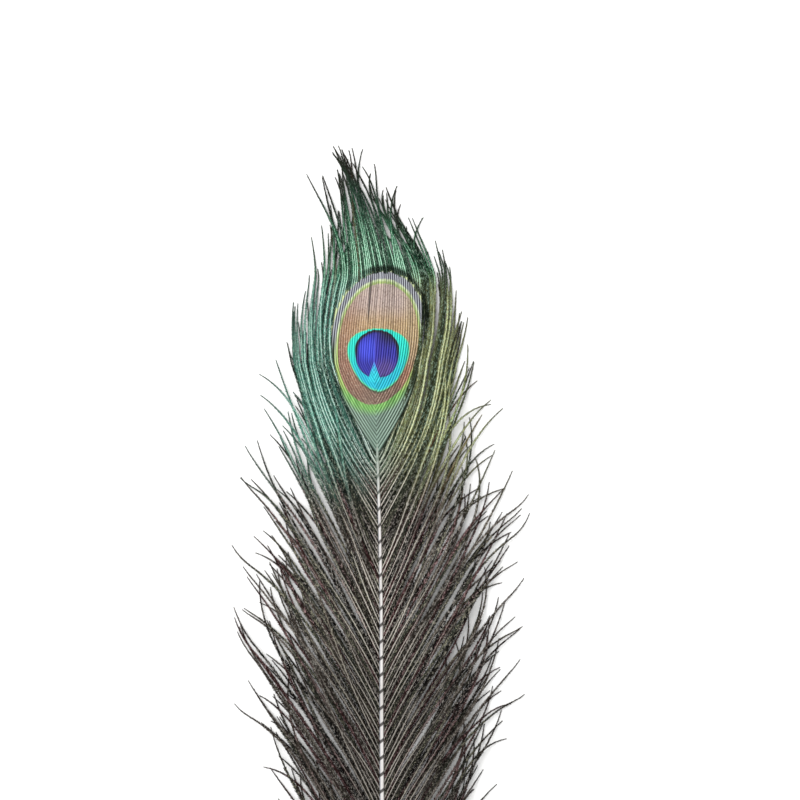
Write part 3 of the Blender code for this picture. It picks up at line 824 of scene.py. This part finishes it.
def edge_to_follow(y, lock, side):
    """How far out a side barb runs: the first ones by the eye barbs, and later ones free of them."""
    near = [bouquet_half_width(y + d, side) for d in SIDE_SMOOTHED_OVER]
    widest = bouquet_half_width(max(y, VANE_WIDEST_Y), side)
    free = min(max(lock, 0.0) / SIDE_FREE_FROM_LOCK, 1.0)
    return sum(near) / len(near) * (1 - free) + widest * free + SIDE_GAP + SIDE_SPREAD * max(lock, 0.0)


def laid_down(flat, root_z, arch):
    """Gives flat points a height: up from the root over an arch, then down to the floor."""
    last = len(flat) - 1
    return [(x, y, arched(n / last, root_z, arch)) for n, (x, y) in enumerate(flat)]


def side_barb(side, root_y, chance):
    """One side barb: out of the shaft, round the eye, and up towards the fringe."""
    lock = (SIDE_LOCK_FIRST_Y - root_y) / SIDE_LOCK_PITCH
    reach = SIDE_REACH - SIDE_REACH_SHORTENS * lock - chance.random() * SIDE_REACH_VARIES
    strays = chance.gauss(0, SIDE_STRAYS)
    curl = chance.gauss(0, SIDE_CURLS)
    joins = SIDE_JOINS_FRINGE * chance.random() * max(0.0, 1 - lock / SIDE_JOINS_TO_LOCK)
    wave, wave_start = chance.uniform(*SIDE_WAVE_MM) * MM, chance.uniform(0, 2 * math.pi)
    flat = []
    for step in range(SIDE_STEPS + 1):
        t = step / SIDE_STEPS
        y = root_y + reach * t
        leaving = (SIDE_LEAVING_SLOPE - SIDE_SLOPE_EASES * lock) * (y - root_y)
        turned = 1 + (leaving / edge_to_follow(y, lock, side)) ** SIDE_TURN_POWER
        offset = leaving * turned ** (-1 / SIDE_TURN_POWER) + strays * t**2 + curl * t**CURL_POWER
        offset *= 1 - joins * smooth_step(y, *SIDE_JOINS_OVER_Y)
        x = feather_x(y) + side * offset
        flat.append((x + wave * t * math.sin(wave_start + WAVE_TURN * t), y))
    arch = SIDE_ARCH * chance.uniform(*SIDE_ARCH_VARIES)
    return laid_down(flat, shaft_lift(root_y) + shaft_radius(root_y), arch)


def free_barbs(name, paths, tints, pale_from_tint, crested, barbule_pitch, seed):
    """Grows free barbs on paths. One with a high tint has a thick pale ramus that shows at its root."""
    runs = [travelled(path) for path in paths]
    shares = [[r / run[-1] for r in run] for run in runs]
    stout = [STOUT_RAMUS if tint > pale_from_tint else 1.0 for tint in tints]
    fluff, crest = [], []
    for share, wide in zip(shares, stout):
        grown = [min(1.0, FLUFF_AT_ROOT / wide + FLUFF_GROWS * t) for t in share]
        fluff.append([g * (1 - FLUFF_SHRINKS * t**SHRINK_POWER) for g, t in zip(grown, share)])
        full = crested if wide > 1 else 1.0
        crest.append([full * (1 - CREST_SHRINKS * t**SHRINK_POWER) for t in share])
    tapered = [[1 - RAMUS_TAPERS * t**RAMUS_TAPER_POWER for t in share] for share in shares]
    guide = lines(
        name,
        paths,
        closed=[[0] * len(path) for path in paths],
        thick=[[wide * left for left in taper] for taper, wide in zip(tapered, stout)],
        along=shares,
        run=runs,
        stride=[[barbule_pitch / run[-1]] * len(run) for run in runs],
        row=[[(n + 0.5) / len(paths)] * len(path) for n, path in enumerate(paths)],
        tint=[[tint] * len(path) for tint, path in zip(tints, paths)],
        fluff=fluff,
        crest=crest,
    )
    piece = grow(
        name,
        guide,
        barb_tree,
        ramus_radius=RAMUS_RADIUS,
        barbule_length=HERL_BARBULE,
        barbule_width=BARBULE_WIDTH,
        barbule_pitch=barbule_pitch,
        barbule_angle=BARBULE_ANGLE,
        barbule_rise=BARBULE_RISE,
        row_half_height=BARB_FILLS_ROW / len(paths),
        seed=seed,
        web=herl,
        material=herl,
    )
    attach(piece, "root")
    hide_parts("feather")
    return piece


for side, name in ((-1, "side_barbs_left"), (1, "side_barbs_right")):
    chance = random.Random(60 + side)
    paths = []
    for barb in range(SIDE_BARBS):
        share = (barb + chance.uniform(-SIDE_ROOT_VARIES, SIDE_ROOT_VARIES)) / (SIDE_BARBS - 1)
        root_y = SIDE_FIRST_Y + (SIDE_LAST_Y - SIDE_FIRST_Y) * share
        paths.append(side_barb(side, root_y, chance))
    tints = [(TINT_STEP * barb) % 1 for barb in range(SIDE_BARBS)]
    free_barbs(name, paths, tints, SIDE_PALE_FROM_TINT, SIDE_CREST, BARBULE_PITCH, seed=17 + side)


# Herls: the long loose barbs down the rest of the shaft. Neighbours cling together in locks, which
# part towards their tips, and some stray out of them.
HERL_LOCKS = 30
HERLS_IN_LOCK = 5
HERLS_APART = 1.3 * MM
HERL_PITCH = 0.33 * MM
HERL_PALE_FROM_TINT, HERL_CREST = 0.63, 0.35
PALE_HERLS = (1, 3)
PALE_HERLS_RISE_BY = 1.0 * MM
PALE_TINTS, DARK_TINTS = (0.7, 1.0), (0.0, 0.6)
HERL_LAST_Y = FIRST_ROOT_Y - (HERL_LOCKS - 1) * ROOT_PITCH
HERL_LEAVING_DEG = 24
HERL_UPPER_TIP_DEG = 20
HERL_LOWER_TIP_DEG = 33
HERL_TURNS_OVER = 56 * MM
HERL_TURN_POWER = 2.2
HERL_LENGTH = 100 * MM
HERL_LOWEST_LENGTH = 68 * MM
HERL_SHORTENS_BELOW = -90 * MM
HERL_LENGTH_VARIES = 0.06
HERL_LENGTHS = (0.74, 1.06)
HERL_TIP_VARIES_DEG = 0.9
HERLS_ASTRAY, ASTRAY_DEG, IN_LOCK_DEG = 0.14, 7, 2.2
HERL_HOOKS_DEG, HOOK_POWER = 24, 5
HERL_TURNS_UP_X, HERL_TURNS_UP_BY = (49 * MM, 65 * MM), 0.95
HERL_WAVE_MM, HERL_WAVE_TURNS, HERL_WAVE_LENGTHWISE = (0.3, 1.7), (4, 9), 0.5
UNEVEN_TURN, UNEVEN_CLING_TURN = 2.4, 3.7
LOCK_ARCHES = [z * MM for z in (4.5, 7.0, 3.5, 8.0, 5.5)]
HERL_ARCH_VARIES = (0.75, 1.2)
CLINGS_BY, CLINGS_UNEVENLY, CLINGS_OVER = 0.24, 0.26, (0.15, 0.9)
HERL_STEPS = 38


def herl_barb(side, lock, place_in_lock, chance):
    """One herl: slanting out of the shaft, close to its neighbours, and turned up far from it."""
    from_middle = (place_in_lock - (HERLS_IN_LOCK - 1) / 2) * HERLS_APART
    lock_y = FIRST_ROOT_Y - ROOT_PITCH * lock
    root_y = lock_y + from_middle
    upper = smooth_step(lock_y, FIRST_ROOT_Y - HERL_TURNS_OVER, FIRST_ROOT_Y)
    tip_deg = HERL_LOWER_TIP_DEG + (HERL_UPPER_TIP_DEG - HERL_LOWER_TIP_DEG) * upper
    tip_deg += HERL_TIP_VARIES_DEG * math.sin(UNEVEN_TURN * lock + side)
    shorter = smooth_step(-lock_y, -HERL_SHORTENS_BELOW, -HERL_LAST_Y)
    length = HERL_LENGTH + (HERL_LOWEST_LENGTH - HERL_LENGTH) * shorter
    length *= 1 - HERL_LENGTH_VARIES * math.sin(UNEVEN_TURN * (lock + 1) + side)
    length *= chance.uniform(*HERL_LENGTHS)
    astray = chance.random() < HERLS_ASTRAY
    tip_deg += chance.gauss(0, ASTRAY_DEG if astray else IN_LOCK_DEG)
    wave, wave_start = chance.uniform(*HERL_WAVE_MM) * MM, chance.uniform(0, 2 * math.pi)
    wave_turn = chance.uniform(*HERL_WAVE_TURNS)
    clings_by = CLINGS_BY + CLINGS_UNEVENLY * math.sin(UNEVEN_CLING_TURN * lock + side)
    x, y = shaft_x(root_y), root_y
    flat = [(x, y)]
    hook_deg = chance.gauss(0, HERL_HOOKS_DEG)
    for step in range(1, HERL_STEPS + 1):
        t = (step - 0.5) / HERL_STEPS
        turned = 1 - (1 - t) ** HERL_TURN_POWER
        heading = HERL_LEAVING_DEG + (tip_deg - HERL_LEAVING_DEG) * turned + hook_deg * t**HOOK_POWER
        heading *= 1 - HERL_TURNS_UP_BY * smooth_step(abs(x), *HERL_TURNS_UP_X)
        heading = math.radians(heading)
        x += side * length / HERL_STEPS * math.sin(heading)
        y += length / HERL_STEPS * math.cos(heading)
        cling = clings_by * from_middle * smooth_step(t, *CLINGS_OVER)
        sway = wave * t * math.sin(wave_start + wave_turn * t)
        flat.append((x + side * sway, y - cling - HERL_WAVE_LENGTHWISE * sway))
    arch = LOCK_ARCHES[(2 * lock + side) % len(LOCK_ARCHES)] * chance.uniform(*HERL_ARCH_VARIES)
    arch += PALE_HERLS_RISE_BY if place_in_lock in PALE_HERLS else 0.0
    return laid_down(flat, shaft_lift(root_y) + shaft_radius(root_y), arch)


for side, name in ((-1, "herls_left"), (1, "herls_right")):
    chance = random.Random(100 + side)
    paths = [
        herl_barb(side, lock, place_in_lock, chance)
        for lock in range(HERL_LOCKS)
        for place_in_lock in range(HERLS_IN_LOCK)
    ]
    is_pale = [barb % HERLS_IN_LOCK in PALE_HERLS for barb in range(len(paths))]
    tints = [chance.uniform(*(PALE_TINTS if pale else DARK_TINTS)) for pale in is_pale]
    free_barbs(name, paths, tints, HERL_PALE_FROM_TINT, HERL_CREST, HERL_PITCH, seed=27 + side)


# Studio: a floor of plain white paper that runs past the picture, its tone faintly cloudy. Even
# light comes from all round, and more from a large soft lamp over the top left.
FLOOR_HALF_WIDTH = 2.0
LAMP_SIZE = 0.9
LAMP_PLACE = (-0.5, 0.55, 1.1)
LAMP_TURNS_DEG = (-24, -22, 0)
LAMP_WATTS = 14
SKY_STRENGTH = 0.82
CLOUDS_ACROSS_FLOOR = 300.0

paper, nodes = new_material("matt white paper")
clouds = add(nodes, "ShaderNodeTexNoise", {"Scale": CLOUDS_ACROSS_FLOOR, "Detail": 2.0})
sheet = lay(nodes, "#fbfbfa", "#f7f7f6", clouds, 0.3, 0.7)
surface = add(nodes, "ShaderNodeBsdfPrincipled", {"Base Color": sheet, "Roughness": 0.9})
add(nodes, "ShaderNodeOutputMaterial", (surface,))
floor_mesh = bpy.data.meshes.new("floor")
corners = [(x * FLOOR_HALF_WIDTH, y * FLOOR_HALF_WIDTH, 0) for x, y in ((-1, -1), (1, -1), (1, 1), (-1, 1))]
floor_mesh.from_pydata(corners, [], [(0, 1, 2, 3)])
floor_mesh.materials.append(paper)
floor = bpy.data.objects.new("floor", floor_mesh)
bpy.context.scene.collection.objects.link(floor)

lamp = bpy.data.lights.new("lamp", "AREA")
lamp.size = LAMP_SIZE
lamp.energy = LAMP_WATTS
lamp_holder = bpy.data.objects.new("lamp", lamp)
lamp_holder.location = LAMP_PLACE
lamp_holder.rotation_euler = [math.radians(turn) for turn in LAMP_TURNS_DEG]
bpy.context.scene.collection.objects.link(lamp_holder)
sky = bpy.data.worlds.new("sky")
sky.use_nodes = True
sky.node_tree.nodes["Background"].inputs["Color"].default_value = linear("#ffffff")
sky.node_tree.nodes["Background"].inputs["Strength"].default_value = SKY_STRENGTH
bpy.context.scene.world = sky
bpy.context.scene.view_settings.view_transform = "Standard"
